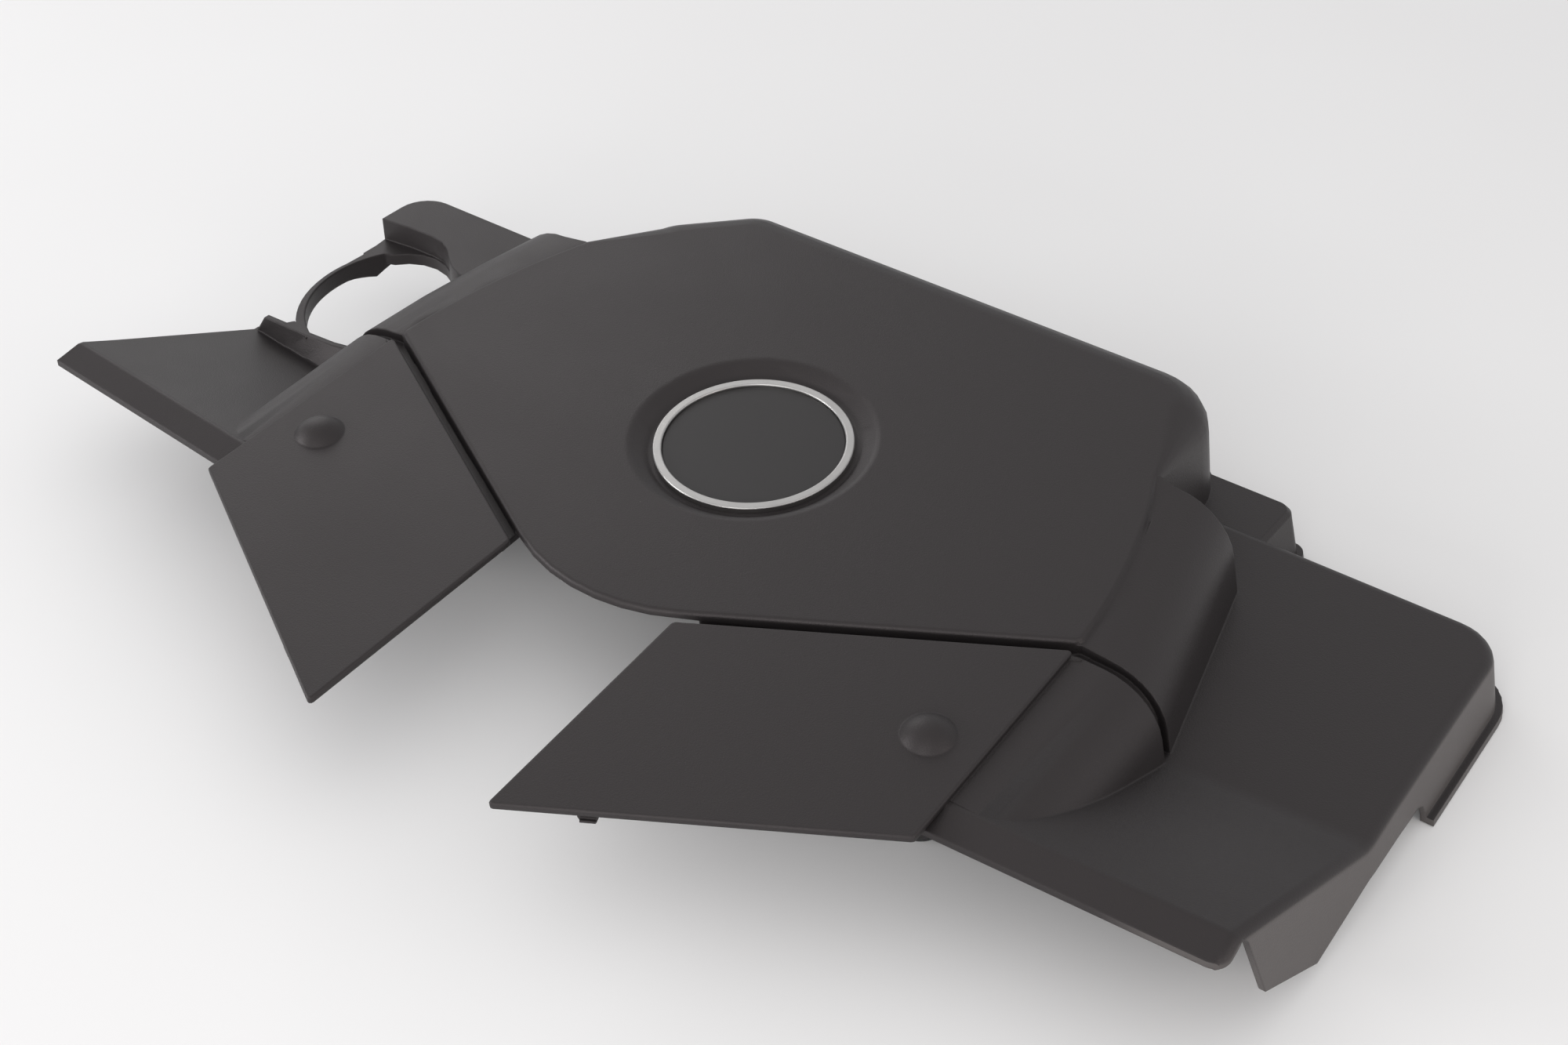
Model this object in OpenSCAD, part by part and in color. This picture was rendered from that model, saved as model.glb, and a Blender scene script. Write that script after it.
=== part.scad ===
// Engine cover: one moulded shell, a round badge and four rubber grommets.
// The dome, the wing panels and the shoulders lie in a top frame that rises to the back.
// The plates, the box, the loop and the bracket are measured straight up from the ground.

/* [Moulding] */
// Wall thickness of the moulding
wall = 2.8; // [2.4:0.1:3.2]
// Height of the dome's top over the ground at the badge
top_h = 70; // [68:0.5:76]
// Rise of the top frame towards the back, in degrees
top_tilt = 4.06; // [3:0.02:5]

/* [Dome] */
// Half width of the dome at its front corners
dome_half = 182; // [178:0.5:186]
// Distance of the front corners ahead of the badge
dome_corner_y = 29.3; // [26:0.1:33]
// Sweep of the dome's front edges, in degrees
sweep = 28.2; // [26:0.2:31]
// Radius of the nose between the front edges
nose_r = 90; // [60:1:95]
// Depth of the thin lip round the nose
nose_lip = 3.2; // [3:0.1:5]
// Half width of the dome where the shoulders end
waist_half = 158; // [154:0.5:162]
// Distance of the shoulders' rear end behind the badge
waist_y = 74; // [68:1:80]
// Distance of the dome's rear edge behind the badge
dome_back_y = 147.5; // [144:0.5:150]
// Change of half width from the waist to the right rear corner
rear_flare = -4; // [-6:0.5:6]
// Corner radius at the right rear, in plan
corner_r = 32; // [24:1:40]
// How far the left rear corner is cut back
left_cut = 54; // [30:1:60]
// Rounding of the top edge at the rear
rear_edge_r = 18; // [10:1:20]
// Rounding of the top edge at the front and the sides
side_edge_r = 2; // [1:0.2:3]
// Height of the rear rim over the ground
rim_h = 24; // [20:1:28]
// Outward lean of the dome's walls, as a share of their height
wall_lean = 0.1; // [0.04:0.01:0.14]
// Width of the bead round the rear rim
bead_w = 3; // [2:0.5:5]
// Thickness of the bead
bead_t = 2.6; // [2:0.2:4]

/* [Wings] */
// Width of the groove between a wing panel and the dome
groove_w = 5; // [4:0.5:7]
// Depth of the groove
groove_depth = 7; // [5:0.5:9]
// Half width of the V between the wings
vee_half = 43; // [41:1:50]
// Length of a wing's inner edge
wing_inner = 113.5; // [100:0.5:120]
// Length of a wing's outer edge
wing_outer = 113; // [105:0.5:118]
// Thickness of a wing panel
wing_t = 2.8; // [2.6:0.1:3.4]
// Distance of a bump from the middle
bump_x = 160.4; // [152:0.2:162]
// Distance of a bump ahead of the badge
bump_y = 103.5; // [98:0.5:112]
// Radius of a bump
bump_r = 11.2; // [10:0.2:13]
// Height of a bump
bump_h = 5.5; // [4:0.5:7]

/* [Shoulders] */
// Drop from the dome's top to the shoulders
shoulder_drop = 3; // [2.6:0.1:4]
// Level run before the right shoulder turns down, at its front
shoulder_run = 12; // [9:0.5:14]
// Level run before the left shoulder turns down, at its front
left_run = 6; // [5:0.5:9]
// Radius of a shoulder's turn
shoulder_r = 28; // [25:0.5:30]
// Depth of the neck where the groove crosses a shoulder
neck_depth = 4.5; // [3:0.5:6]

/* [Low plates] */
// Height of the plates' ridge over the ground
ridge_h = 58.4; // [57:0.2:59]
// Distance of the ridge ahead of the badge, at its inner end
ridge_y = 125; // [121:0.5:129]
// Width of the band in front of the ridge
band_w = 12.5; // [10:0.5:16]
// Drop of the band to its front edge
band_drop = 4.6; // [3:0.2:7]
// Height of the valley behind the ridge
valley_h = 30; // [27:0.5:32]
// Reach of the left plate from the middle
left_reach = 310; // [302:1:316]
// How far the left plate narrows from its tip to the valley
left_taper = 25; // [18:1:32]

/* [Right box] */
// Reach of the box's top edge from the middle, at the valley
box_x = 308.5; // [303:0.5:313]
// Distance of the box's rear edge behind the badge
box_back_y = 118.5; // [114:0.5:122]
// Corner radius of the box, in plan
box_corner_r = 22; // [14:1:28]
// Rounding of the box's top edges
box_edge_r = 5.5; // [4:0.5:8]
// Outward lean of the box's walls, as a share of their height
box_lean = 0.22; // [0.14:0.01:0.28]
// Width of the flange round the box's foot
flange_w = 3; // [2.5:0.5:4.5]
// Height of the flange
flange_t = 3; // [2:0.2:4]
// Reach of the small rear box from the middle
small_box_x = 191.5; // [187:0.5:196]
// Distance of the small box's rear edge behind the badge
small_box_y = 147.5; // [144:0.5:150]
// Height of the small rear box
small_box_h = 28.5; // [27:0.1:29]

/* [Filler loop] */
// Distance of the filler opening's middle from the badge, to the left
filler_x = 222; // [219:0.5:225]
// Distance of the filler opening's middle behind the badge
filler_y = 5; // [3:0.5:8]
// Radius of the filler opening
filler_r = 45; // [42:0.5:47]
// Radius of the strap's outside
strap_r = 59; // [58:0.5:60]
// Thickness of the strap
strap_t = 6; // [4:0.5:8]
// Height of the strap's top over the ground
strap_h = 40; // [38:0.5:42]
// Height of the bracket's top over the ground
bracket_h = 52; // [48:0.5:55]
// Reach of the bracket from the middle
bracket_x = 281; // [278:0.5:284]
// Distance of the bracket's rear edge behind the badge
bracket_y = 87; // [83:0.5:91]

/* [Badge] */
// Outer radius of the badge ring
badge_r = 44; // [40:0.5:46]
// Width of the badge ring
badge_ring_w = 4; // [3:0.2:6]
// Height of the badge ring
badge_ring_t = 3; // [2:0.2:4]
// Thickness of the badge disc
badge_disc_t = 1.5; // [1:0.1:2]
// Depth of the seat's floor under the dome's top
seat_depth = 6; // [4:0.5:7]
// Width of the slope round the seat
seat_slope_w = 8; // [6:0.5:10]
// Clearance between the disc and the ring
badge_gap = 0.2; // [0.1:0.05:0.4]

/* [Mount towers] */
// Distance of the front towers' feet from the middle
front_tower_x = 150; // [146:1:156]
// Distance of the front towers' feet ahead of the badge
front_tower_y = 90; // [86:1:100]
// Distance of the rear towers from the middle
rear_tower_x = 112; // [104:1:118]
// Distance of the rear towers behind the badge
rear_tower_y = 98; // [90:1:104]
// Radius of the ball stud that a grommet grips
stud_r = 5; // [4:0.25:6]
// Wall of the grommet's neck
grommet_wall = 3.2; // [2.6:0.2:4]
// Length of the grommet's neck
grommet_neck = 12; // [9:0.5:15]
// Thickness of the grommet's flange
grommet_flange = 2; // [1.6:0.2:3]
// Clearance between a grommet and its tower
grommet_gap = 0.2; // [0.1:0.05:0.3]
// Depth of the ribs under the dome
rib_depth = 14; // [10:1:20]
// Thickness of the ribs
rib_t = 2; // [1.6:0.2:2.6]

/* [Hidden] */

black = "#2b2929";
inlay_black = "#191818";
silver = "silver";
rubber = "#141414";

past = 6;                  // how far a cutting solid runs past what it cuts
deep = 110;                // how far down the cutting solids reach
arc_steps = 5;             // steps of an edge rounding
corner_steps = 7;          // steps of a corner in plan
round_fn = 64;             // facets of a large round
tower_fn = 28;             // facets of a tower
lip = 0.7;                 // soft edge of a wing panel
edge_min = 0.4;            // smallest rounding inside the walls

function unit(v) = v / norm(v);

// One rounded corner of a plan, as [x, y, outward x, outward y, edge rounding, foot depth].
function corner(a, p, b, n) =
    let (u = unit([a.x - p.x, a.y - p.y]), v = unit([b.x - p.x, b.y - p.y]),
         half = acos(u * v) / 2, c = [p.x, p.y] + unit(u + v) * p.z / sin(half),
         s = [p.x, p.y] + u * p.z / tan(half) - c, e = [p.x, p.y] + v * p.z / tan(half) - c,
         w0 = atan2(s.y, s.x), turn = (atan2(e.y, e.x) - w0 + 540) % 360 - 180, out = sign(turn))
    [for (i = [0:n]) let (w = w0 + turn * i / n)
        [c.x + p.z * cos(w), c.y + p.z * sin(w), out * cos(w), out * sin(w), p[3], p[4]]];

// A rounded plan, anticlockwise, from corners of x, y, radius and what goes with them.
function outline(corners, n) = [
    for (i = [0:len(corners) - 1])
        let (k = len(corners))
        each corner(corners[(i + k - 1) % k], corners[i], corners[(i + 1) % k], n)
];
function flat(plan) = [for (p = plan) [p.x, p.y]];
function mean(ring) = [for (p = ring) 1] * ring / len(ring);

// A closed solid over rings of equal length, anticlockwise as seen from the last ring's side.
module skin(rings) {
    n = len(rings[0]);
    m = len(rings);
    points = concat([for (r = rings) each r], [mean(rings[0]), mean(rings[m - 1])]);
    sides = [
        for (j = [0:m - 2]) for (i = [0:n - 1])
            let (a = j * n + i, b = j * n + (i + 1) % n)
            each [[a, b + n, b], [a, a + n, b + n]]
    ];
    first = [for (i = [0:n - 1]) [i, (i + 1) % n, m * n]];
    last = [for (i = [0:n - 1]) [(m - 1) * n + (i + 1) % n, (m - 1) * n + i, m * n + 1]];
    polyhedron(points, concat(sides, first, last), convexity = 10);
}

module on_top() translate([0, 0, top_h]) rotate([top_tilt, 0, 0]) children();
module on_left() mirror([1, 0, 0]) children();
module both_sides() {
    children();
    on_left() children();
}
module below(h) translate([-500, -500, h - 3 * deep]) cube([1000, 1000, 3 * deep]);

// Plan of the dome: x, y, corner radius, edge rounding and depth of the wall's foot.
groove_foot = groove_depth + wall + 2;
crease_edge = side_edge_r + 1;
nose_y = dome_corner_y + dome_half * tan(sweep);
dome_corners = [
    [0, -nose_y, nose_r, side_edge_r, nose_lip],
    [dome_half, -dome_corner_y, 4, side_edge_r, groove_foot],
    [waist_half, waist_y, 8, crease_edge, top_h],
    [waist_half + rear_flare, dome_back_y, corner_r, rear_edge_r, top_h],
    [left_cut - waist_half, dome_back_y, 25, rear_edge_r, top_h],
    [left_cut / 3 - waist_half, waist_y + 41, 30, rear_edge_r, top_h],
    [-waist_half, waist_y, 8, crease_edge, top_h],
    [-dome_half, -dome_corner_y, 4, side_edge_r, groove_foot]
];
dome_plan = outline(dome_corners, corner_steps);

// The dome as a solid. With a thickness t it is the hollow inside; the foot goes down by more.
module dome_solid(t, more) {
    function ring(w) = [
        for (p = dome_plan)
            let (e = max(p[4] - t, edge_min), s = -t - e * (1 - cos(w)))
            [p.x + s * p[2], p.y + s * p[3], -t - e * (1 - sin(w))]
    ];
    foot = [
        for (p = dome_plan)
            let (z = p[5] + more, s = -t + wall_lean * max(z - p[4], 0))
            [p.x + s * p[2], p.y + s * p[3], -z]
    ];
    skin(concat([foot], [for (i = [0:arc_steps]) ring(90 * i / arc_steps)]));
}

// A shoulder's section at a station of y, start x, level run, radius and start height.
turn_end = 80;             // the turn stops here, in degrees, and the wall runs straight down
function shoulder_ring(s, inside, t, foot) =
    let (cx = s[1] + s[2], cz = -shoulder_drop - s[3], r = s[3] - t,
         ex = cx + r * sin(turn_end), ez = cz + r * cos(turn_end), steps = arc_steps + 2)
    [for (p = concat(
        [[s[1] - inside, -foot], [s[1] - inside, s[4] - t], [s[1], s[4] - t]],
        [for (i = [0:steps]) let (w = turn_end * i / steps) [cx + r * sin(w), cz + r * cos(w)]],
        [[ex + (ez + foot) / tan(turn_end), -foot]]
    )) [p.x, s[0], p.y]];
module shoulder_piece(stations, inside, t, foot)
    skin([for (s = stations) shoulder_ring(s, inside, t, foot)]);

shoulder_front_y = ridge_y - 1;
groove_gap_y = groove_w / cos(sweep);
wing_end_y = dome_corner_y + groove_gap_y;
dome_start_z = -0.7;       // the shoulder starts a little under the dome's top
wing_start_z = 0.2 - shoulder_drop;
// Each side's level runs: along the wing, then at four stations from the groove to the waist.
right_runs = [shoulder_run, [shoulder_run, shoulder_run - 1.3, shoulder_run - 2.7, shoulder_run - 4]];
left_runs = [left_run - 1.3, [left_run, left_run + 4.6, left_run + 7, left_run + 7.6]];
function wing_station(y, runs) = [y, dome_half + 1, runs[0], shoulder_r, wing_start_z];
function dome_stations(runs, t) = [
    for (i = [0:3])
        let (f = i / 3, y = -dome_corner_y + (waist_y + dome_corner_y) * f + t * (1 - 2 * f))
        [y, dome_half + (waist_half - dome_half) * f, runs[1][i], shoulder_r + 2 * f, dome_start_z]
];

module shoulder_outer(runs) {
    foot = deep / 2;
    shoulder_piece([wing_station(-shoulder_front_y, runs), wing_station(-wing_end_y, runs)],
        2, 0, foot);
    shoulder_piece([wing_station(-wing_end_y - wall / 2, runs),
        wing_station(-dome_corner_y + wall / 2, runs)], 6, neck_depth, foot);
    shoulder_piece(dome_stations(runs, 0), 12, 0, foot);
}

module shoulder_inner(runs) {
    inside = 36;
    shoulder_piece([wing_station(wall - shoulder_front_y, runs),
        wing_station(-wing_end_y - wall, runs)], inside, wall, deep);
    shoulder_piece([wing_station(-wing_end_y - 2 * wall, runs),
        wing_station(-dome_corner_y + 2 * wall, runs)], inside, neck_depth + wall, deep);
    shoulder_piece(dome_stations(runs, wall), inside, wall, deep);
}

// The two edges of the groove between the dome and a wing.
function dome_edge_y(x) = -dome_corner_y - (dome_half - x) * tan(sweep);
function wing_edge_y(x) = dome_edge_y(x) - groove_gap_y;

// The U-shaped channel that carries a wing on the dome.
module channel() {
    x0 = vee_half + 6;
    x1 = dome_half + 4;
    k = wall / cos(sweep);
    difference() {
        translate([0, 0, -groove_depth - wall])
            linear_extrude(groove_depth + wall - side_edge_r - 0.2) polygon([
                [x0, dome_edge_y(x0) + k], [x0, wing_edge_y(x0) - k],
                [x1, wing_edge_y(x1) - k], [x1, dome_edge_y(x1) + k]
            ]);
        translate([0, 0, -groove_depth]) linear_extrude(groove_depth + past) polygon([
            [x0 - past, dome_edge_y(x0 - past)], [x0 - past, wing_edge_y(x0 - past)],
            [x1 + past, wing_edge_y(x1 + past)], [x1 + past, dome_edge_y(x1 + past)]
        ]);
    }
}

// A wing panel: x, y and radius of its corners, anticlockwise.
wing_rise = 0.2;           // a wing's top over the dome's top
wing_corners = [
    [vee_half, wing_edge_y(vee_half), 2.5],
    [vee_half + 3, wing_edge_y(vee_half) - wing_inner, 1.5],
    [dome_half + 2, -wing_end_y - wing_outer, 2],
    [dome_half, -wing_end_y, 1.5]
];

module wing_panel() {
    plan = flat(outline(wing_corners, 3));
    hull() {
        translate([0, 0, wing_rise - wing_t]) linear_extrude(wing_t - lip) polygon(plan);
        translate([0, 0, wing_rise - lip]) linear_extrude(lip) offset(delta = -lip) polygon(plan);
    }
}

module bump_cap(r, h) {
    ball = (r * r + h * h) / (2 * h);
    rise = asin(min(r / ball, 1));
    steps = 4;
    rotate_extrude($fn = 32) polygon(concat([[0, -wing_t], [r, -wing_t]], [
        for (i = [0:steps]) let (w = rise * (1 - i / steps)) [ball * sin(w), ball * cos(w) - ball + h]
    ]));
}

// A small hook under a wing's front edge.
module locating_hook() {
    depth = 5;
    hull() {
        translate([-4, 0, -depth / 2 - wing_t]) cube([8, 2, depth / 2 + 1]);
        translate([-3, 0, -depth - wing_t]) cube([6, 2, 1]);
    }
    hull() {
        translate([-3, 0, -depth - wing_t]) cube([6, 2, 1]);
        translate([-3, -1.4, -depth - wing_t + 1]) cube([6, 1, 1]);
    }
}

module wing() {
    difference() {
        union() {
            wing_panel();
            translate([bump_x, -bump_y, wing_rise - 0.1]) bump_cap(bump_r, bump_h);
        }
        translate([bump_x, -bump_y, wing_rise - 1]) bump_cap(bump_r - wall + 0.6, bump_h - wall + 1);
    }
    hook_x = vee_half + 35;
    hook_y = wing_corners[1].y + (hook_x - wing_corners[1].x) * tan(sweep + 0.3) + 2;
    translate([hook_x, hook_y, 0]) rotate([0, 0, sweep]) locating_hook();
    channel();
}

// The web that joins a wing's outer edge to the low plate's band.
module wing_web() {
    x = dome_half - 3.4;
    hull() {
        translate([x, 2 - ridge_y - band_w, ridge_h - band_drop - 1]) cube([wall, 1, 1]);
        translate([x, -ridge_y, ridge_h - 1]) cube([wall, 1, 1]);
        on_top() translate([x, 4 - ridge_y - band_w, -wing_t]) cube([wall, 14, 1]);
    }
}

// Lines of the low plates, swept back outwards, each at a distance x from the middle.
left_sweep = 0.078;
right_sweep = 0.055;
sweep_x = dome_half + 5;
plate_in = dome_half - 6;
valley_x = 224;
left_valley_y = 39;
ridge_half = 1.2;
ridge_cut = 0.2;
function ridge_line(x, s) = -ridge_y + s * (x - sweep_x);
function left_valley(x) = -left_valley_y + 0.115 * (x - valley_x);

// The left plate's section: its top lowered by drop, ahead of the band and behind the valley.
function left_section(x, drop, low, ahead, behind) =
    let (r = ridge_line(x, left_sweep), v = left_valley(x), top = ridge_h - ridge_cut - drop,
         front_z = ridge_h - band_drop * (1 + ahead / band_w) - drop)
    [[x, v + behind, valley_h - low], [x, v + behind, valley_h - drop], [x, v, valley_h - drop],
     [x, r + ridge_half, top], [x, r - ridge_half, top],
     [x, r - band_w - ahead, front_z], [x, r - band_w - ahead, valley_h - low]];
plate_drop = 3;            // thickness of the sloping plate, measured straight down

module left_under(behind) skin([
    left_section(plate_in - 30, plate_drop, deep, past, behind),
    left_section(left_reach + 40, plate_drop, deep, past, behind)
]);

side_y = ridge_y + 5;
side_slope = left_taper / (side_y - 32);
module left_plate() {
    front_x = left_reach + past * side_slope;
    intersection() {
        difference() {
            skin([left_section(plate_in, 0, deep / 2, 0, wall),
                left_section(left_reach + 20, 0, deep / 2, 0, wall)]);
            left_under(wall + past);
        }
        linear_extrude(2 * deep) polygon([
            [0, -2 * deep], [front_x, -2 * deep], [front_x, -side_y - past],
            [left_reach - left_taper, -32], [left_reach - left_taper, 0], [0, 0]
        ]);
    }
}

// The wall that steps up from the valley to the loop: x at its foot, x, y and height at its top.
left_valley_x = left_reach - left_taper;
strap_front_y = 31;
step_stations = [
    [valley_x - 14, valley_x - 14, -24, strap_h], [valley_x - 2, valley_x - 2, -27, strap_h],
    [valley_x + 9, valley_x + 9, -29.5, strap_h], [valley_x + 24, valley_x + 24, -30.6, strap_h],
    [valley_x + 38, valley_x + 38, -strap_front_y, strap_h],
    [left_valley_x, left_valley_x - 8, -strap_front_y, strap_h - 0.6]
];
module step_wall() skin([
    for (s = step_stations) [
        [s[0], left_valley(s[0]) + wall, valley_h - wall],
        [s[1], s[2] + wall, s[3]],
        [s[1], s[2], s[3]],
        [s[0], left_valley(s[0]), valley_h - wall]
    ]
]);

// The filler opening in plan: a round on the outside and a cove under the bracket.
strap_x = filler_x - 1;
strap_y = filler_y + 13;
cove = [[44, 43], [39, 48], [32, 51.5], [24, 52.5], [16, 51], [9, 47.5], [3, 42.5], [-6, 35]];
function around(c, r, w) = [c.x + r * cos(w), c.y + r * sin(w)];
opening_mid = [filler_x + 3, filler_y + 14.5];
opening_r = filler_r + 8;
opening_from = -67;
opening_to = 30;
module filler_opening() polygon(concat(
    [[filler_x - 25, 1.5 - strap_front_y]],
    [for (w = [opening_from:(opening_to - opening_from) / 24:opening_to + 1])
        around(opening_mid, opening_r, w)],
    [for (p = cove) [filler_x + p.x, filler_y + p.y]],
    [[filler_x - 25, filler_y + 35]]
));

// The strap's flat band and, along its inside, the skirt that is deepest near the bracket.
skirt_depths = [[-66, 7], [-45, 8], [8, 8.5], [18, 10.5], [24, 12], [29, 9], [34, strap_t]];
module strap() {
    translate([0, 0, strap_h - strap_t]) linear_extrude(strap_t) difference() {
        union() {
            intersection() {
                translate([strap_x, strap_y]) circle(r = strap_r, $fn = round_fn);
                polygon(concat([for (s = step_stations) [s[1], s[2] + wall / 2]],
                    [[left_reach, filler_y + 95], [step_stations[0].x, filler_y + 95]]));
            }
            polygon([[filler_x + 30, wall - strap_front_y], [filler_x + 30, wall / 2 - strap_front_y],
                [filler_x + 43, wall / 2 - strap_front_y], [filler_x + 40, 6 - strap_front_y]]);
            polygon([[filler_x + 30, strap_y], [strap_x + strap_r - 0.3, strap_y + 4],
                [bracket_x - 2, strap_y + 22], [bracket_x, filler_y + 53], [filler_x + 30, filler_y + 53]]);
            translate([filler_x - 25, filler_y + 35]) square([bracket_x - filler_x + 24, 24]);
        }
        filler_opening();
    }
    skin([
        for (w = [skirt_depths[0].x:4.5:33.1])
            let (a = around(opening_mid, opening_r - 0.2, w),
                 b = around(opening_mid, opening_r + wall, w), low = strap_h - lookup(w, skirt_depths))
            [[a.x, a.y, low], [a.x, a.y, strap_h - 0.5], [b.x, b.y, strap_h - 0.5], [b.x, b.y, low]]
    ]);
}

// The bracket's plan: its front edge runs a little behind the opening's cove.
bracket_front = [[-8, 36], [-1, 39], [5, 43.5], [12, 49.5], [19, 53], [27, 54], [42, 53.5]];
module bracket_plan() {
    rear_r = 16;
    polygon(concat(
        [for (p = concat([[waist_half - 6 - filler_x, 33]], bracket_front)) [filler_x + p.x, filler_y + p.y]],
        [[bracket_x, filler_y + 51.5]],
        [for (i = [0:corner_steps]) let (w = 90 * i / corner_steps)
            [bracket_x - rear_r * (1 - cos(w)), bracket_y - rear_r * (1 - sin(w))]],
        [[waist_half - 6, bracket_y]]
    ));
}

module bracket() {
    skirt = bracket_h - strap_h + strap_t;
    difference() {
        translate([0, 0, bracket_h - skirt]) linear_extrude(skirt) bracket_plan();
        translate([0, 0, bracket_h - skirt - past]) linear_extrude(skirt + past - wall)
            offset(delta = -wall) bracket_plan();
    }
}

// The right box's edge profile, as outward offset and depth under the top.
box_turn = 78;             // the edge's turn stops here, in degrees
function box_profile(t) =
    let (k = max(box_edge_r - t, edge_min))
    concat(
        [for (i = [0:arc_steps]) let (w = box_turn * i / arc_steps)
            [k * sin(w) - k - t, t + k * (1 - cos(w))]],
        [[box_lean * (deep - k) - t, deep]]
    );

// The right plate, box and flap wall at a station of y, sweep, top height and inner x.
box_h = valley_h - 0.5;
box_narrow = 4.2;          // how far the box's side comes in towards the rear
box_cy = box_back_y - box_corner_r;
box_cx = box_x - box_narrow - box_corner_r;
box_front_y = 36;
box_reach = [
    [-ridge_y - 30, box_x - 3.4], [-116, box_x - 2.5], [-box_front_y, box_x], [box_cy, box_x - box_narrow]
];
function right_ring(s, t, inside) =
    let (prof = box_profile(t), over = max(s[0] - box_cy, 0), top = s[2], x_in = s[3] - inside,
         edge = lookup(s[0], box_reach) + box_lean * (box_h - top),
         end = top - (over > 0 ? lookup(over - box_corner_r, prof) : t))
    [for (p = concat([[x_in, top - deep], [x_in, end]], [
        for (q = prof)
            over <= 0 ? [edge + q[0], top - q[1]]
            : box_corner_r + q[0] > over
                ? [box_cx + sqrt(pow(box_corner_r + q[0], 2) - over * over), top - q[1]]
                : [box_cx, end]
    ])) [p.x, s[0] + s[1] * (p.x - sweep_x), p.y]];

function right_stations(t, ahead) =
    let (back = box_back_y - t, box_in = waist_half - 8, v = right_valley_y)
    concat(
        ahead > 0 ? [[-ridge_y - band_w - ahead, right_sweep,
            ridge_h - band_drop * (1 + ahead / band_w), plate_in]] : [],
        [[-ridge_y - band_w, right_sweep, ridge_h - band_drop, plate_in],
         [-ridge_y - ridge_half, right_sweep, ridge_h - ridge_cut, plate_in],
         [-ridge_y + ridge_half, right_sweep, ridge_h - ridge_cut, plate_in],
         [-v - 3.6, valley_sweep, box_h + 1.5, plate_in],
         [-v, valley_sweep, box_h + 0.6, plate_in],
         [-v + 5, valley_sweep, box_h, plate_in],
         [0, 0, box_h, box_in]],
        [for (i = [0:corner_steps])
            [box_cy + (box_corner_r - t) * sin(82 * i / corner_steps), 0, box_h, box_in]],
        [for (y = [-0.02, 2.4, 6.4]) [back + y, 0, box_h, box_in]]
    );
right_valley_y = 37;
valley_sweep = 0.085;

module right_solid(t, ahead, inside)
    skin([for (s = right_stations(t, ahead)) right_ring(s, t, inside)]);

// What is open beside the right plate: ahead of the flap, under it, and the arch.
arch_end_y = 28;
module right_side_cut() {
    translate([box_x - 23.5, 0, 0]) rotate([90, 0, 90]) linear_extrude(60) polygon([
        [-ridge_y - 35, -deep], [-ridge_y - 35, ridge_h - 8.9], [-ridge_y - 7.5, ridge_h - 8.4],
        [-ridge_y + 8.5, ridge_h - 3.2], [-113.8, 52], [-105.8, 23], [-69, 7], [-27, 14.5], [11, 13.2],
        [20, 13.2], [25, 10.5], [arch_end_y, 4], [arch_end_y + 0.5, -deep]
    ]);
}

// The small box behind the right shoulder; t is its wall, and a negative t makes its flange.
module small_box_plan(x, y, r) {
    x0 = waist_half - 12;
    y0 = box_back_y - 2.5;
    hull() {
        translate([x0, y0]) square([x - x0, 1]);
        translate([x0, y0]) square([1, y - y0]);
        translate([x - r, y - r]) circle(r = r, $fn = 32);
    }
}
module small_box(t) {
    foot = 6;
    hull() {
        translate([0, 0, small_box_h - t - 0.1]) linear_extrude(0.1)
            small_box_plan(small_box_x - t - 2, small_box_y - t - 2, 5);
        translate([0, 0, small_box_h - t - 2.5]) linear_extrude(0.1)
            small_box_plan(small_box_x - t, small_box_y - t, 6);
        translate([0, 0, -foot]) linear_extrude(0.1)
            small_box_plan(small_box_x - t + foot, small_box_y - t + foot, 7);
    }
}

module right_outer() {
    difference() {
        right_solid(0, 0, 0);
        right_side_cut();
        below(0);
    }
    difference() {
        small_box(0);
        below(0);
    }
}
module right_inner() {
    right_solid(wall, past, 40);
    small_box(wall);
}

// The foot flange round the box's rear corner and the small box.
module right_flange() {
    difference() {
        intersection() {
            union() {
                right_solid(-flange_w, 0, 0);
                small_box(1 - flange_w);
            }
            translate([waist_half - 8, arch_end_y, 0]) cube([200, 150, flange_t]);
        }
        right_inner();
        on_top() dome_solid(wall, 40);
    }
}

// The bead round the dome's rear rim.
module rear_bead() {
    difference() {
        intersection() {
            on_top() dome_solid(-bead_w, 40);
            translate([-300, waist_y + 3, rim_h]) cube([600, 200, bead_t]);
        }
        on_top() dome_solid(wall, 40);
        right_inner();
    }
}

// The dish that seats the badge; grown, it is the underside of its floor.
module seat_profile(grow) {
    floor_r = badge_r + 1.5;
    rim = floor_r + seat_slope_w;
    side = grow / 2;
    rotate_extrude($fn = 72) polygon([
        [0, -seat_depth - grow], [floor_r + side, -seat_depth - grow],
        [floor_r + 1 + side, 0.3 - seat_depth - grow], [rim - 1 + side, -1 - grow],
        [rim + 0.6 + side, -0.3 - grow], [rim + 2.4 + side, -grow], [rim + 2.4 + side, 1], [0, 1]
    ]);
}

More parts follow.
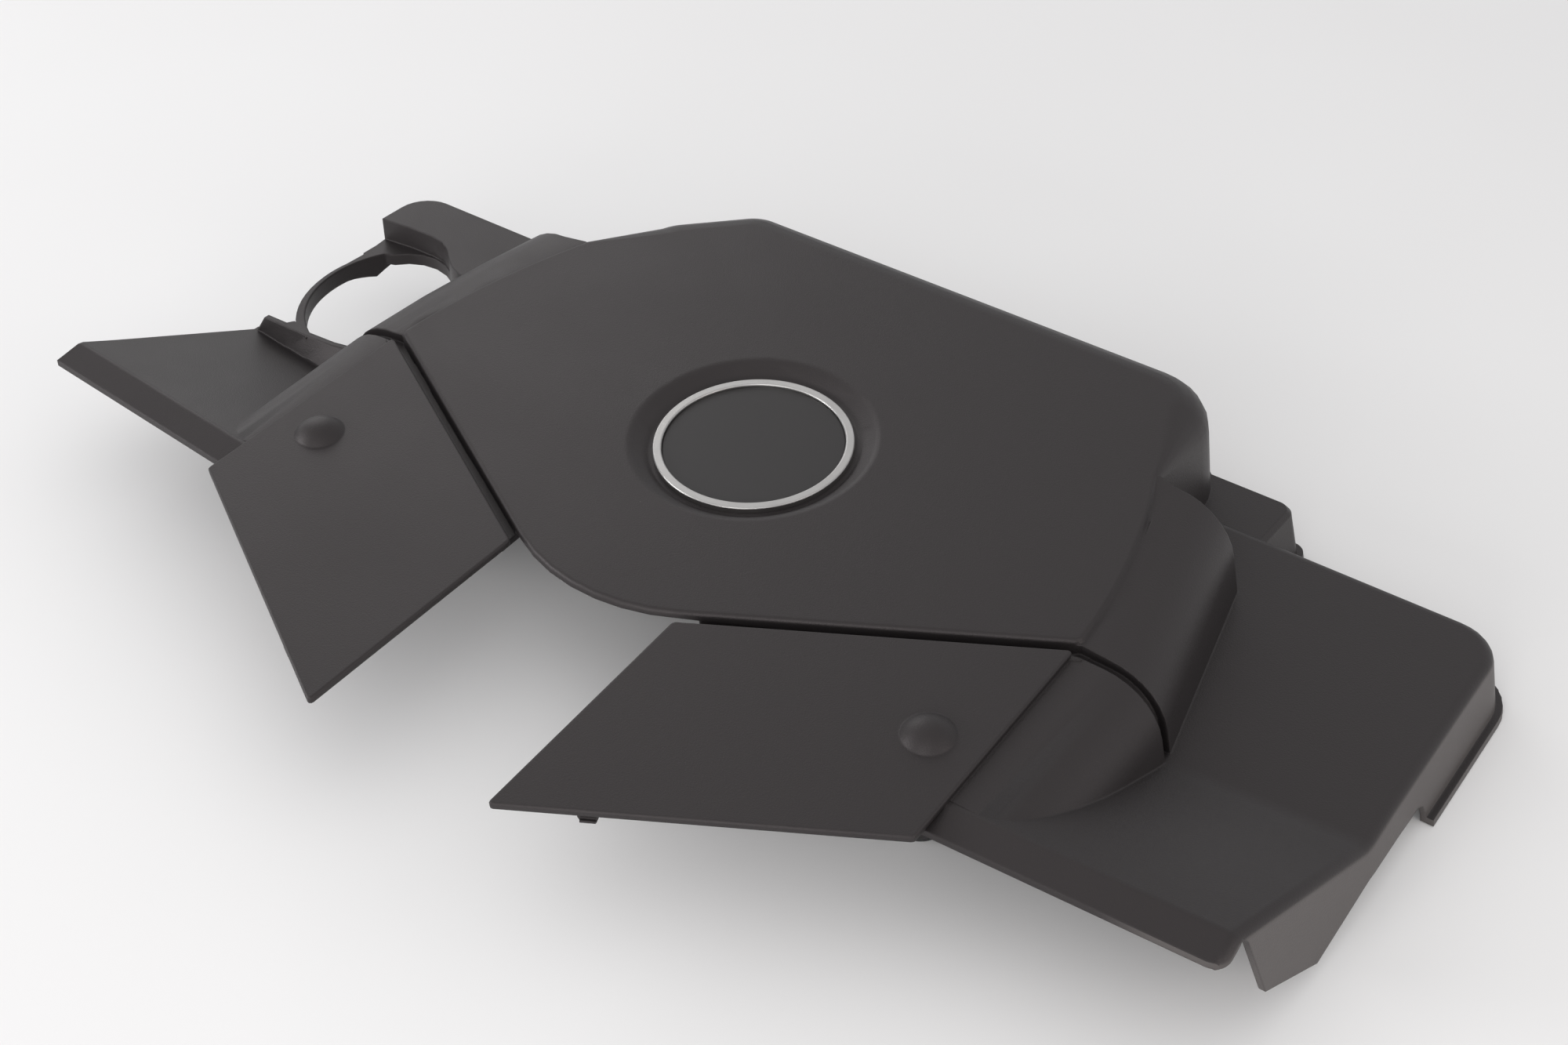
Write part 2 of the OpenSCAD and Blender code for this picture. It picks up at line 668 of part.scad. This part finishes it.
// Ribs under the dome, trimmed to its inside.
module ribs() {
    rib_x = 62;
    ring_rib_r = badge_r + seat_slope_w + 6;
    top = -wall / 2;
    wide = rib_t + 0.6;
    intersection() {
        union() {
            for (x = [-2 * rib_x, -rib_x, rib_x, 2 * rib_x]) hull() {
                translate([x - rib_t / 2, -100, top - rib_depth]) cube([rib_t, 260, 1]);
                translate([x - wide / 2, -100, top - 1]) cube([wide, 260, 1]);
            }
            for (y = [-46, 76, 118]) hull() {
                translate([-180, y - rib_t / 2, top - rib_depth]) cube([360, rib_t, 1]);
                translate([-180, y - wide / 2, top - 1]) cube([360, wide, 1]);
            }
            translate([0, 0, top - rib_depth]) difference() {
                cylinder(r = ring_rib_r + rib_t, h = rib_depth, $fn = round_fn);
                translate([0, 0, -1]) cylinder(r = ring_rib_r, h = rib_depth + 2, $fn = round_fn);
            }
        }
        dome_solid(wall / 2, 0);
    }
}

// A hollow tower from a grommet's collar up to the moulding: foot x, y and head x, y, and how far
// its hollow opens into what is above it.
collar_r = stud_r + grommet_wall + grommet_gap;
tower_wall = 3.6;
module tower(foot, head, open) {
    head_r = collar_r + 3;
    grip = grommet_flange + grommet_neck;
    difference() {
        hull() {
            translate([foot.x, foot.y, grommet_flange])
                cylinder(r = collar_r + tower_wall, h = 1, $fn = tower_fn);
            on_top() translate([head.x, head.y, -wall])
                cylinder(r = head_r + tower_wall, h = 1, $fn = tower_fn);
        }
        hull() {
            translate([foot.x, foot.y, grip + 2]) cylinder(r = collar_r, h = 1, $fn = tower_fn);
            on_top() translate([head.x, head.y, -wall - 1])
                cylinder(r = head_r, h = 0.5, $fn = tower_fn);
        }
        on_top() translate([head.x, head.y, -wall - 1]) cylinder(r = head_r - 2, h = 0.5 + open, $fn = tower_fn);
        translate([foot.x, foot.y, -1]) cylinder(r = collar_r, h = grip + 4, $fn = tower_fn);
    }
}
rear_foot = [rear_tower_x, rear_tower_y];
front_foot = [front_tower_x, -front_tower_y];

// The middle of the whole part on the ground is the origin.
flange_profile = [for (q = box_profile(-flange_w)) [q[1], q[0]]];
reach_right = lookup(arch_end_y, box_reach) + lookup(box_h, flange_profile);
reach_left = left_reach - side_slope * (side_y - band_w + ridge_line(left_reach, left_sweep));
reach_front = min([for (p = outline(wing_corners, 3)) p.y]) * cos(top_tilt)
    - (wing_rise - lip) * sin(top_tilt);
rim_depth = (top_h - rim_h) / cos(top_tilt) + dome_back_y * tan(top_tilt);
reach_back = (dome_back_y + bead_w + wall_lean * (rim_depth - rear_edge_r)) * cos(top_tilt)
    + rim_depth * sin(top_tilt);
module place()
    translate([-(reach_right - reach_left) / 2, -(reach_back + reach_front) / 2, 0]) children();

module cover_shell() {
    color(black) place() union() {
        difference() {
            union() {
                difference() {
                    on_top() {
                        dome_solid(0, 0);
                        shoulder_outer(right_runs);
                        on_left() shoulder_outer(left_runs);
                    }
                    below(rim_h);
                }
                right_outer();
                on_left() {
                    left_plate();
                    step_wall();
                    strap();
                    bracket();
                }
            }
            on_top() {
                difference() {
                    dome_solid(wall, 20);
                    seat_profile(wall);
                }
                shoulder_inner(right_runs);
                on_left() shoulder_inner(left_runs);
                seat_profile(0);
            }
            on_left() left_under(0.1);
            right_inner();
        }
        on_top() {
            both_sides() wing();
            difference() {
                ribs();
                seat_profile(wall / 2);
            }
        }
        both_sides() {
            wing_web();
            tower(rear_foot, rear_foot, 0);
            tower(front_foot, [bump_x, -bump_y], 3);
        }
        rear_bead();
        right_flange();
    }
}

module badge_disc() {
    color(inlay_black) place() on_top() translate([0, 0, -seat_depth])
        cylinder(r = badge_r - badge_ring_w - badge_gap, h = badge_disc_t, $fn = 128);
}

module badge_ring() {
    edge = 0.5;
    inner_r = badge_r - badge_ring_w;
    color(silver) place() on_top() translate([0, 0, -seat_depth]) rotate_extrude($fn = 128) polygon([
        [inner_r, 0], [badge_r, 0], [badge_r, badge_ring_t - edge], [badge_r - edge, badge_ring_t],
        [inner_r + edge, badge_ring_t], [inner_r, badge_ring_t - edge]
    ]);
}

// A rubber grommet, pushed up into its tower, with a socket for a ball stud.
module grommet(p) {
    place() translate([p.x, p.y, 0]) difference() {
        union() {
            cylinder(r = collar_r + tower_wall - 0.5, h = grommet_flange, $fn = 64);
            cylinder(r = stud_r + grommet_wall, h = grommet_flange + grommet_neck, $fn = 64);
        }
        translate([0, 0, -1]) cylinder(r = stud_r, h = grommet_flange + grommet_neck, $fn = 64);
    }
}
module grommet_front_left() color(rubber) grommet([-front_foot.x, front_foot.y]);
module grommet_front_right() color(rubber) grommet(front_foot);
module grommet_rear_left() color(rubber) grommet([-rear_foot.x, rear_foot.y]);
module grommet_rear_right() color(rubber) grommet(rear_foot);

cover_shell();
badge_disc();
badge_ring();
grommet_front_left();
grommet_front_right();
grommet_rear_left();
grommet_rear_right();
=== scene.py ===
import math

import bmesh
import bpy
from mathutils import Matrix, Vector


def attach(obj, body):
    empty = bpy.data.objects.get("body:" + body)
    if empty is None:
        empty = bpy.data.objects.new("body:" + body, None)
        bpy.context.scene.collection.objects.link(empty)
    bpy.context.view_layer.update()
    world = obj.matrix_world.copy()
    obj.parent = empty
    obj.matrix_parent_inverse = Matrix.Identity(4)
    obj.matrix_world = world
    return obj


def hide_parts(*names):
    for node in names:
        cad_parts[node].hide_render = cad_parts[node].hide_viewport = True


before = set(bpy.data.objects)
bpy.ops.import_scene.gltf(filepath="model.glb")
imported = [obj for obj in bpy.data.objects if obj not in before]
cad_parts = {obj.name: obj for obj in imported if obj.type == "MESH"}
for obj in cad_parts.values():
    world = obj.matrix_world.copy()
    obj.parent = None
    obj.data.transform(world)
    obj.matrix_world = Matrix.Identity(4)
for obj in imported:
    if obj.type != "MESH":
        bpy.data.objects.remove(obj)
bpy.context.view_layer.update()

scene = bpy.context.scene

# Soft edge group
# Every edge of a moulding is a little round, because hot plastic does not fill a sharp corner.
# The group rounds the shading by a radius and lays a fine bump over it.
soft = bpy.data.node_groups.new("soft edge and grain", "ShaderNodeTree")
for label, usual in (("Radius", 0.0009), ("Height", 0.0), ("Depth", 0.0001)):
    socket = soft.interface.new_socket(label, in_out="INPUT", socket_type="NodeSocketFloat")
    socket.default_value = usual
soft.interface.new_socket("Normal", in_out="OUTPUT", socket_type="NodeSocketVector")
nodes, links = soft.nodes, soft.links
taken = nodes.new("NodeGroupInput")
given = nodes.new("NodeGroupOutput")
edge = nodes.new("ShaderNodeBevel")
edge.samples = 6
bump = nodes.new("ShaderNodeBump")
bump.inputs["Strength"].default_value = 1.0
links.new(taken.outputs["Radius"], edge.inputs["Radius"])
links.new(taken.outputs["Height"], bump.inputs["Height"])
links.new(taken.outputs["Depth"], bump.inputs["Distance"])
links.new(edge.outputs["Normal"], bump.inputs["Normal"])
links.new(bump.outputs["Normal"], given.inputs["Normal"])

# Spark grain group
# The tool is spark eroded, which leaves a pebbled grain of about half a millimetre.
# Large, faint patches go over it, where the skin cooled at another pace or hands have polished it.
grain = bpy.data.node_groups.new("spark eroded grain", "ShaderNodeTree")
for label, usual in (("Grain per metre", 1500.0), ("Patches per metre", 14.0)):
    socket = grain.interface.new_socket(label, in_out="INPUT", socket_type="NodeSocketFloat")
    socket.default_value = usual
for label in ("Height", "Patch", "Dust"):
    grain.interface.new_socket(label, in_out="OUTPUT", socket_type="NodeSocketFloat")
nodes, links = grain.nodes, grain.links
taken = nodes.new("NodeGroupInput")
given = nodes.new("NodeGroupOutput")
where = nodes.new("ShaderNodeTexCoord")
pebble = nodes.new("ShaderNodeTexNoise")
pebble.inputs["Detail"].default_value = 3.0
pebble.inputs["Roughness"].default_value = 0.6
patch = nodes.new("ShaderNodeTexNoise")
patch.inputs["Detail"].default_value = 5.0
patch.inputs["Roughness"].default_value = 0.55
speck = nodes.new("ShaderNodeTexVoronoi")
speck.inputs["Scale"].default_value = 70.0
speck_size = nodes.new("ShaderNodeMapRange")
speck_size.inputs["From Min"].default_value = 0.025
speck_size.inputs["From Max"].default_value = 0.01
rare = nodes.new("ShaderNodeMath")
rare.operation = "GREATER_THAN"
rare.inputs[1].default_value = 0.86
pick = nodes.new("ShaderNodeSeparateColor")
dust = nodes.new("ShaderNodeMath")
dust.operation = "MULTIPLY"
links.new(taken.outputs["Grain per metre"], pebble.inputs["Scale"])
links.new(taken.outputs["Patches per metre"], patch.inputs["Scale"])
for node in (pebble, patch, speck):
    links.new(where.outputs["Object"], node.inputs["Vector"])
links.new(speck.outputs["Distance"], speck_size.inputs["Value"])
links.new(speck.outputs["Color"], pick.inputs["Color"])
links.new(pick.outputs["Red"], rare.inputs[0])
links.new(speck_size.outputs["Result"], dust.inputs[0])
links.new(rare.outputs[0], dust.inputs[1])
links.new(pebble.outputs["Fac"], given.inputs["Height"])
links.new(patch.outputs["Fac"], given.inputs["Patch"])
links.new(dust.outputs[0], given.inputs["Dust"])

# Moulded shell: material
# Glass filled nylon, moulded in black and left unpainted, with a warm charcoal satin skin.
# The grain breaks up the shine and a few specks of dust sit on it. Painted light lightens
# the steep walls round its right end, for the light they catch from the right and off the table.
shell_mat = bpy.data.materials.new("shell plastic")
shell_mat.use_nodes = True
nodes, links = shell_mat.node_tree.nodes, shell_mat.node_tree.links
skin = nodes["Principled BSDF"]
skin.inputs["IOR"].default_value = 1.5
skin.inputs["Specular IOR Level"].default_value = 0.4
skin.inputs["Specular Tint"].default_value = (1.0, 0.93, 0.935, 1)
skin_grain = nodes.new("ShaderNodeGroup")
skin_grain.node_tree = grain
skin_edge = nodes.new("ShaderNodeGroup")
skin_edge.node_tree = soft
skin_edge.inputs["Radius"].default_value = 0.0012
skin_edge.inputs["Depth"].default_value = 0.00012
tone = nodes.new("ShaderNodeMix")
tone.data_type = "RGBA"
tone.inputs["A"].default_value = (0.0150, 0.0130, 0.0134, 1)
tone.inputs["B"].default_value = (0.0185, 0.0163, 0.0167, 1)
dusty = nodes.new("ShaderNodeMix")
dusty.data_type = "RGBA"
dusty.inputs["B"].default_value = (0.2, 0.19, 0.18, 1)
shine = nodes.new("ShaderNodeMapRange")
shine.inputs["From Min"].default_value = 0.3
shine.inputs["From Max"].default_value = 0.7
shine.inputs["To Min"].default_value = 0.42
shine.inputs["To Max"].default_value = 0.49
links.new(skin_grain.outputs["Patch"], tone.inputs["Factor"])
links.new(tone.outputs["Result"], dusty.inputs["A"])
links.new(skin_grain.outputs["Dust"], dusty.inputs["Factor"])
# Painted light: steep walls beyond x = 0.245 m get a lighter base colour for the light they catch.
surface = nodes.new("ShaderNodeNewGeometry")
lie = nodes.new("ShaderNodeSeparateXYZ")
steep = nodes.new("ShaderNodeMath")
steep.operation = "ABSOLUTE"
steep_light = nodes.new("ShaderNodeMapRange")
steep_light.interpolation_type = "SMOOTHSTEP"
steep_light.inputs["From Min"].default_value = 0.62
steep_light.inputs["From Max"].default_value = 0.3
spot = nodes.new("ShaderNodeTexCoord")
axis = nodes.new("ShaderNodeSeparateXYZ")
outer = nodes.new("ShaderNodeMapRange")
outer.interpolation_type = "SMOOTHSTEP"
outer.inputs["From Min"].default_value = 0.245
outer.inputs["From Max"].default_value = 0.275
painted_light_mask = nodes.new("ShaderNodeMath")
painted_light_mask.operation = "MULTIPLY"
painted_wall_light = nodes.new("ShaderNodeMix")
painted_wall_light.data_type = "RGBA"
painted_wall_light.inputs["B"].default_value = (0.070, 0.0635, 0.0615, 1)
links.new(surface.outputs["Normal"], lie.inputs["Vector"])
links.new(lie.outputs["Z"], steep.inputs[0])
links.new(steep.outputs[0], steep_light.inputs["Value"])
links.new(spot.outputs["Object"], axis.inputs["Vector"])
links.new(axis.outputs["X"], outer.inputs["Value"])
links.new(steep_light.outputs["Result"], painted_light_mask.inputs[0])
links.new(outer.outputs["Result"], painted_light_mask.inputs[1])
links.new(painted_light_mask.outputs[0], painted_wall_light.inputs["Factor"])
links.new(dusty.outputs["Result"], painted_wall_light.inputs["A"])
links.new(painted_wall_light.outputs["Result"], skin.inputs["Base Color"])
links.new(skin_grain.outputs["Patch"], shine.inputs["Value"])
links.new(shine.outputs["Result"], skin.inputs["Roughness"])
links.new(skin_grain.outputs["Height"], skin_edge.inputs["Height"])
links.new(skin_edge.outputs["Normal"], skin.inputs["Normal"])

# Moulded shell: form
# The cover is one injection moulding, so its round edges run smoothly into its flat panels.
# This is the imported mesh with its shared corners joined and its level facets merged.
cover = bpy.data.objects.new("moulded_shell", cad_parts["cover_shell"].data.copy())
scene.collection.objects.link(cover)
mesh = cover.data
joined = 0.00001
work = bmesh.new()
work.from_mesh(mesh)
bmesh.ops.remove_doubles(work, verts=work.verts, dist=joined)
bmesh.ops.dissolve_limit(work, angle_limit=math.radians(0.5), verts=work.verts, edges=work.edges)
bmesh.ops.recalc_face_normals(work, faces=work.faces)

# Moulded shell: dome sides and groove ends
# Between the groove and the shoulder's rear end the dome's side bows out by 4.5 mm, and the
# shoulder meets it 2 mm under its top, so a soft crease runs there. The groove's walls end flush.
groove_end_y, waist_y = -0.0293, 0.074
corner_x, waist_x = 0.182, 0.158
side_bow = 0.0045
crease_drop, crease_shift = 0.0014, 0.0006
seam_reach, seam_low, seam_high = 0.0022, -0.001, -0.0004
inner_reach, inner_blend, outer_reach = 0.02, 0.015, 0.01
top_layer = 0.012
shoulder_end_y, shoulder_top = -0.0349, -0.0028
top_tilt = Matrix.Rotation(math.radians(4.06), 4, "X")
top_frame = Matrix.Translation((-0.00264, 0.03171, 0.07)) @ top_tilt
to_top = top_frame.inverted()
ahead = top_frame.to_3x3() @ Vector((0, 1, 0))


def cut(faces, point, direction):
    parts = faces + [e for f in faces for e in f.edges] + [v for f in faces for v in f.verts]
    bmesh.ops.bisect_plane(
        work, geom=list(dict.fromkeys(parts)), dist=joined, plane_co=point, plane_no=direction)


for step in range(1, 8):
    y = groove_end_y + (waist_y - groove_end_y) * step / 8
    beside = [f for f in work.faces if all(abs((to_top @ v.co).z) < top_layer for v in f.verts)]
    cut(beside, top_frame @ Vector((0, y, 0)), ahead)
for v in work.verts:
    spot = to_top @ v.co
    if spot.z < -top_layer:
        continue
    along = (spot.y - groove_end_y) / (waist_y - groove_end_y)
    out = abs(spot.x) - (corner_x + (waist_x - corner_x) * along)
    side = math.copysign(1, spot.x)
    if 0 <= along <= 1 and -inner_reach < out < outer_reach:
        if abs(out) < seam_reach and seam_low < spot.z < seam_high:
            sunk = min(8 * (1 - along), 1)
            spot.z -= crease_drop * sunk
            spot.x += side * crease_shift * sunk
        held = min((out + inner_reach) / inner_blend, 1) if out < 0 else 1 - out / outer_reach
        spot.x += side * side_bow * 4 * along * (1 - along) * held
        v.co = top_frame @ spot
    elif abs(spot.x) > 0.185 and -0.0345 < spot.y < -0.031 and spot.z > -0.0035:
        v.co = top_frame @ Vector((spot.x, shoulder_end_y, shoulder_top))
bmesh.ops.recalc_face_normals(work, faces=work.faces)

# Moulded shell: front band's right end
# The sloping band along the front right edge ends in a free corner. The tool rounds it by 7 mm,
# so it has no sharp tip to crack or to catch a hand.
corner_round = 0.007
corner_cuts = 6
corner_tip = Vector((0.29706, -0.09959, 0.05039))
outward = Vector((0.9985, 0.055, 0)).normalized()
down = Vector((0.0586, -0.930, -0.3636)).normalized()


def in_band(spot, inner_x):
    return spot.x > inner_x and spot.y < -0.088 and spot.z > 0.049


for way_out in (outward, down):
    for step in range(corner_cuts):
        on_band = [f for f in work.faces if all(in_band(v.co, 0.17) for v in f.verts)]
        cut(on_band, corner_tip - way_out * corner_round * step / (corner_cuts - 1), way_out)
for v in work.verts:
    if in_band(v.co, 0.28):
        a = (v.co - corner_tip).dot(outward) + corner_round
        b = (v.co - corner_tip).dot(down) + corner_round
        if a > 0 and b > 0:
            pull = 1 - max(a, b) / math.hypot(a, b)
            v.co -= (outward * a + down * b) * pull
for face in work.faces:
    face.normal_update()
work.faces.index_update()

# Moulded shell: how its faces turn
# On a moulding a flat panel stays flat up to its edge, and the narrow rounding beside it turns
# smoothly to the next panel. So each flat region is measured, and a wide one keeps its own normal.
level = math.cos(math.radians(0.8))
panel_area, panel_width, panel_weight = 0.0003, 0.009, 200
panel = {}
for first in work.faces:
    if first.index in panel:
        continue
    region = [first]
    panel[first.index] = False
    for face in region:
        for border in face.edges:
            for other in border.link_faces:
                if other.index not in panel and face.normal.dot(other.normal) > level:
                    panel[other.index] = False
                    region.append(other)
    area = sum(face.calc_area() for face in region)
    corners = [v.co for face in region for v in face.verts]
    span = max((max(c[i] for c in corners) - min(c[i] for c in corners)) for i in range(3))
    if area > panel_area and area > panel_width * span:
        for face in region:
            panel[face.index] = True

turn = math.cos(math.radians(26))
bend = math.cos(math.radians(3))
near = math.cos(math.radians(4))
normals = []
for face in work.faces:
    for loop in face.loops:
        fan = [face]
        for part in fan:
            for border in loop.vert.link_edges:
                if part not in border.link_faces:
                    continue
                for other in border.link_faces:
                    limit = bend if panel[part.index] and panel[other.index] else turn
                    if other not in fan and part.normal.dot(other.normal) > limit:
                        fan.append(other)
        groups = []
        for part in fan:
            share = part.normal * max(part.calc_area(), 1e-10)
            weight = panel_weight if panel[part.index] else 1
            for group in groups:
                if group[0].dot(part.normal) > near:
                    group[1] += share
                    group[2] = max(group[2], weight)
                    break
            else:
                groups.append([part.normal.copy(), share, weight])
        total = Vector((0, 0, 0))
        for group in groups:
            total += group[1].normalized() * group[2]
        normals.append(total.normalized() if total.length > 0 else face.normal.copy())
work.to_mesh(mesh)
work.free()
mesh.materials.clear()
mesh.materials.append(shell_mat)
mesh.shade_smooth()
mesh.normals_split_custom_set([tuple(n) for n in normals])
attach(cover, "root")
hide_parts("cover_shell")

# Badge disc
# A thin black disc is pressed into the seat. It is moulded against a fine blasted tool face,
# so it shines a touch more evenly than the shell round it.
disc_mat = bpy.data.materials.new("badge disc")
disc_mat.use_nodes = True
nodes, links = disc_mat.node_tree.nodes, disc_mat.node_tree.links
face = nodes["Principled BSDF"]
face.inputs["Specular IOR Level"].default_value = 0.4
face.inputs["Base Color"].default_value = (0.016, 0.0142, 0.0145, 1)
disc_grain = nodes.new("ShaderNodeGroup")
disc_grain.node_tree = grain
disc_grain.inputs["Grain per metre"].default_value = 2600.0
disc_edge = nodes.new("ShaderNodeGroup")
disc_edge.node_tree = soft
disc_edge.inputs["Depth"].default_value = 0.00004
disc_shine = nodes.new("ShaderNodeMapRange")
disc_shine.inputs["To Min"].default_value = 0.4
disc_shine.inputs["To Max"].default_value = 0.48
links.new(disc_grain.outputs["Patch"], disc_shine.inputs["Value"])
links.new(disc_shine.outputs["Result"], face.inputs["Roughness"])
links.new(disc_grain.outputs["Height"], disc_edge.inputs["Height"])
links.new(disc_edge.outputs["Normal"], face.inputs["Normal"])
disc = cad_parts["badge_disc"]
disc.data.materials.clear()
disc.data.materials.append(disc_mat)

# Badge ring
# The ring is plastic with a satin silver plating. The plating is even, with a very faint
# mottle, and its edges catch the light.
ring_mat = bpy.data.materials.new("badge ring")
ring_mat.use_nodes = True
nodes, links = ring_mat.node_tree.nodes, ring_mat.node_tree.links
plate = nodes["Principled BSDF"]
plate.inputs["Metallic"].default_value = 1.0
ring_grain = nodes.new("ShaderNodeGroup")
ring_grain.node_tree = grain
ring_grain.inputs["Grain per metre"].default_value = 4000.0
ring_grain.inputs["Patches per metre"].default_value = 60.0
ring_edge = nodes.new("ShaderNodeGroup")
ring_edge.node_tree = soft
ring_edge.inputs["Radius"].default_value = 0.0006
ring_edge.inputs["Depth"].default_value = 0.00002
ring_tone = nodes.new("ShaderNodeMix")
ring_tone.data_type = "RGBA"
ring_tone.inputs["A"].default_value = (0.42, 0.413, 0.405, 1)
ring_tone.inputs["B"].default_value = (0.52, 0.512, 0.503, 1)
ring_shine = nodes.new("ShaderNodeMapRange")
ring_shine.inputs["To Min"].default_value = 0.3
ring_shine.inputs["To Max"].default_value = 0.4
links.new(ring_grain.outputs["Patch"], ring_tone.inputs["Factor"])
links.new(ring_tone.outputs["Result"], plate.inputs["Base Color"])
links.new(ring_grain.outputs["Patch"], ring_shine.inputs["Value"])
links.new(ring_shine.outputs["Result"], plate.inputs["Roughness"])
links.new(ring_grain.outputs["Height"], ring_edge.inputs["Height"])
links.new(ring_edge.outputs["Normal"], plate.inputs["Normal"])
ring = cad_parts["badge_ring"]
ring.data.materials.clear()
ring.data.materials.append(ring_mat)

# Grommets
# Soft black rubber, moulded in small open tools. It is duller than the shell, with a bloom
# that lightens it in patches.
rubber_mat = bpy.data.materials.new("grommet rubber")
rubber_mat.use_nodes = True
nodes, links = rubber_mat.node_tree.nodes, rubber_mat.node_tree.links
rubber = nodes["Principled BSDF"]
rubber_grain = nodes.new("ShaderNodeGroup")
rubber_grain.node_tree = grain
rubber_grain.inputs["Patches per metre"].default_value = 180.0
rubber_edge = nodes.new("ShaderNodeGroup")
rubber_edge.node_tree = soft
rubber_edge.inputs["Radius"].default_value = 0.0005
rubber_edge.inputs["Depth"].default_value = 0.00005
bloom = nodes.new("ShaderNodeMix")
bloom.data_type = "RGBA"
bloom.inputs["A"].default_value = (0.012, 0.012, 0.012, 1)
bloom.inputs["B"].default_value = (0.03, 0.03, 0.031, 1)
rubber_shine = nodes.new("ShaderNodeMapRange")
rubber_shine.inputs["To Min"].default_value = 0.6
rubber_shine.inputs["To Max"].default_value = 0.8
links.new(rubber_grain.outputs["Patch"], bloom.inputs["Factor"])
links.new(bloom.outputs["Result"], rubber.inputs["Base Color"])
links.new(rubber_grain.outputs["Patch"], rubber_shine.inputs["Value"])
links.new(rubber_shine.outputs["Result"], rubber.inputs["Roughness"])
links.new(rubber_grain.outputs["Height"], rubber_edge.inputs["Height"])
links.new(rubber_edge.outputs["Normal"], rubber.inputs["Normal"])
for corner in ("front_left", "front_right", "rear_left", "rear_right"):
    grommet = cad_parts["grommet_" + corner]
    grommet.data.materials.clear()
    grommet.data.materials.append(rubber_mat)

# Table
# The cover lies on a white studio table that runs out of sight behind it. The paper on it is
# matt, with a very slight unevenness.
table_mat = bpy.data.materials.new("studio table")
table_mat.use_nodes = True
nodes, links = table_mat.node_tree.nodes, table_mat.node_tree.links
paper = nodes["Principled BSDF"]
paper.inputs["Roughness"].default_value = 0.7
paper.inputs["Specular IOR Level"].default_value = 0.2
where = nodes.new("ShaderNodeTexCoord")
fibre = nodes.new("ShaderNodeTexNoise")
fibre.inputs["Scale"].default_value = 3.0
white = nodes.new("ShaderNodeMix")
white.data_type = "RGBA"
white.inputs["A"].default_value = (0.80, 0.795, 0.795, 1)
white.inputs["B"].default_value = (0.84, 0.838, 0.84, 1)
links.new(where.outputs["Object"], fibre.inputs["Vector"])
links.new(fibre.outputs["Fac"], white.inputs["Factor"])
links.new(white.outputs["Result"], paper.inputs["Base Color"])
sheet = bmesh.new()
bmesh.ops.create_grid(sheet, x_segments=1, y_segments=1, size=6)
table_mesh = bpy.data.meshes.new("studio_table")
sheet.to_mesh(table_mesh)
sheet.free()
for v in table_mesh.vertices:
    v.co.z = -0.0004
table_mesh.materials.append(table_mat)
table = bpy.data.objects.new("studio_table", table_mesh)
scene.collection.objects.link(table)

# Light
# The cover lies in an evenly white cove. Five large soft boxes stand in front of it, to both
# sides and behind it on the left. Most of them are low, so that much light meets the upright walls.
room = bpy.data.worlds.new("white cove")
scene.world = room
room.use_nodes = True
nodes, links = room.node_tree.nodes, room.node_tree.links
walls = nodes["Background"]
walls.inputs["Strength"].default_value = 0.72
way = nodes.new("ShaderNodeTexCoord")
split = nodes.new("ShaderNodeSeparateXYZ")
height = nodes.new("ShaderNodeMapRange")
height.interpolation_type = "SMOOTHSTEP"
height.inputs["From Min"].default_value = 0.5
height.inputs["From Max"].default_value = 0.74
cove = nodes.new("ShaderNodeMix")
cove.data_type = "RGBA"
cove.inputs["A"].default_value = (0.98, 0.985, 1.0, 1)
cove.inputs["B"].default_value = (1.06, 1.055, 1.055, 1)
links.new(way.outputs["Generated"], split.inputs["Vector"])
links.new(split.outputs["Z"], height.inputs["Value"])
links.new(height.outputs["Result"], cove.inputs["Factor"])
links.new(cove.outputs["Result"], walls.inputs["Color"])
seen = nodes.new("ShaderNodeBackground")
seen.inputs["Color"].default_value = (0.82, 0.815, 0.81, 1)
seen.inputs["Strength"].default_value = 0.95
ray = nodes.new("ShaderNodeLightPath")
either = nodes.new("ShaderNodeMixShader")
links.new(ray.outputs["Is Camera Ray"], either.inputs["Fac"])
links.new(walls.outputs["Background"], either.inputs[1])
links.new(seen.outputs["Background"], either.inputs[2])
links.new(either.outputs["Shader"], nodes["World Output"].inputs["Surface"])

for name, place, aim, size, watts, tint in (
    ("rear left", (-1.7, 1.0, 1.05), (-0.1, 0.05, 0.03), (1.2, 0.8), 5.4, (1.0, 0.99, 0.985)),
    ("front", (0.4, -1.9, 0.5), (0.05, -0.1, 0.03), (1.2, 0.5), 12.5, (1.0, 0.985, 0.975)),
    ("front high", (0.7, -1.7, 1.3), (0.1, -0.1, 0.03), (1.2, 0.9), 5.2, (1.0, 0.99, 0.985)),
    ("front left", (-1.3, -1.1, 0.5), (-0.1, -0.1, 0.03), (1.0, 0.5), 11.5, (1.0, 0.995, 1.0)),
    ("right", (1.5, -0.1, 0.5), (0.15, -0.05, 0.03), (0.9, 0.6), 4.3, (1.0, 0.94, 0.9)),
):
    lamp = bpy.data.lights.new(name, "AREA")
    lamp.shape = "RECTANGLE"
    lamp.size, lamp.size_y = size
    lamp.energy = watts
    lamp.color = tint
    hung = bpy.data.objects.new(name, lamp)
    hung.location = place
    hung.rotation_euler = (Vector(aim) - Vector(place)).to_track_quat("-Z", "Y").to_euler()
    scene.collection.objects.link(hung)

# Camera
# The photo was taken from above the cover's right front corner, with a long lens and a level
# camera. The place, the turn and the lens come from a fit of the ring and the wings' edges.
lens = bpy.data.cameras.new("photo")
lens.lens = 51.91
lens.sensor_width = 36.0
lens.clip_start = 0.01
camera = bpy.data.objects.new("photo", lens)
right = Vector((0.8029, 0.5962, 0.0001))
back = Vector((0.4677, -0.6300, 0.6200)).normalized()
up = back.cross(right).normalized()
right = up.cross(back)
turned = Matrix((right, up, back)).transposed().to_4x4()
camera.matrix_world = Matrix.Translation((0.47905, -0.5947, 0.6466)) @ turned
scene.collection.objects.link(camera)
scene.camera = camera
scene.view_settings.view_transform = "Standard"
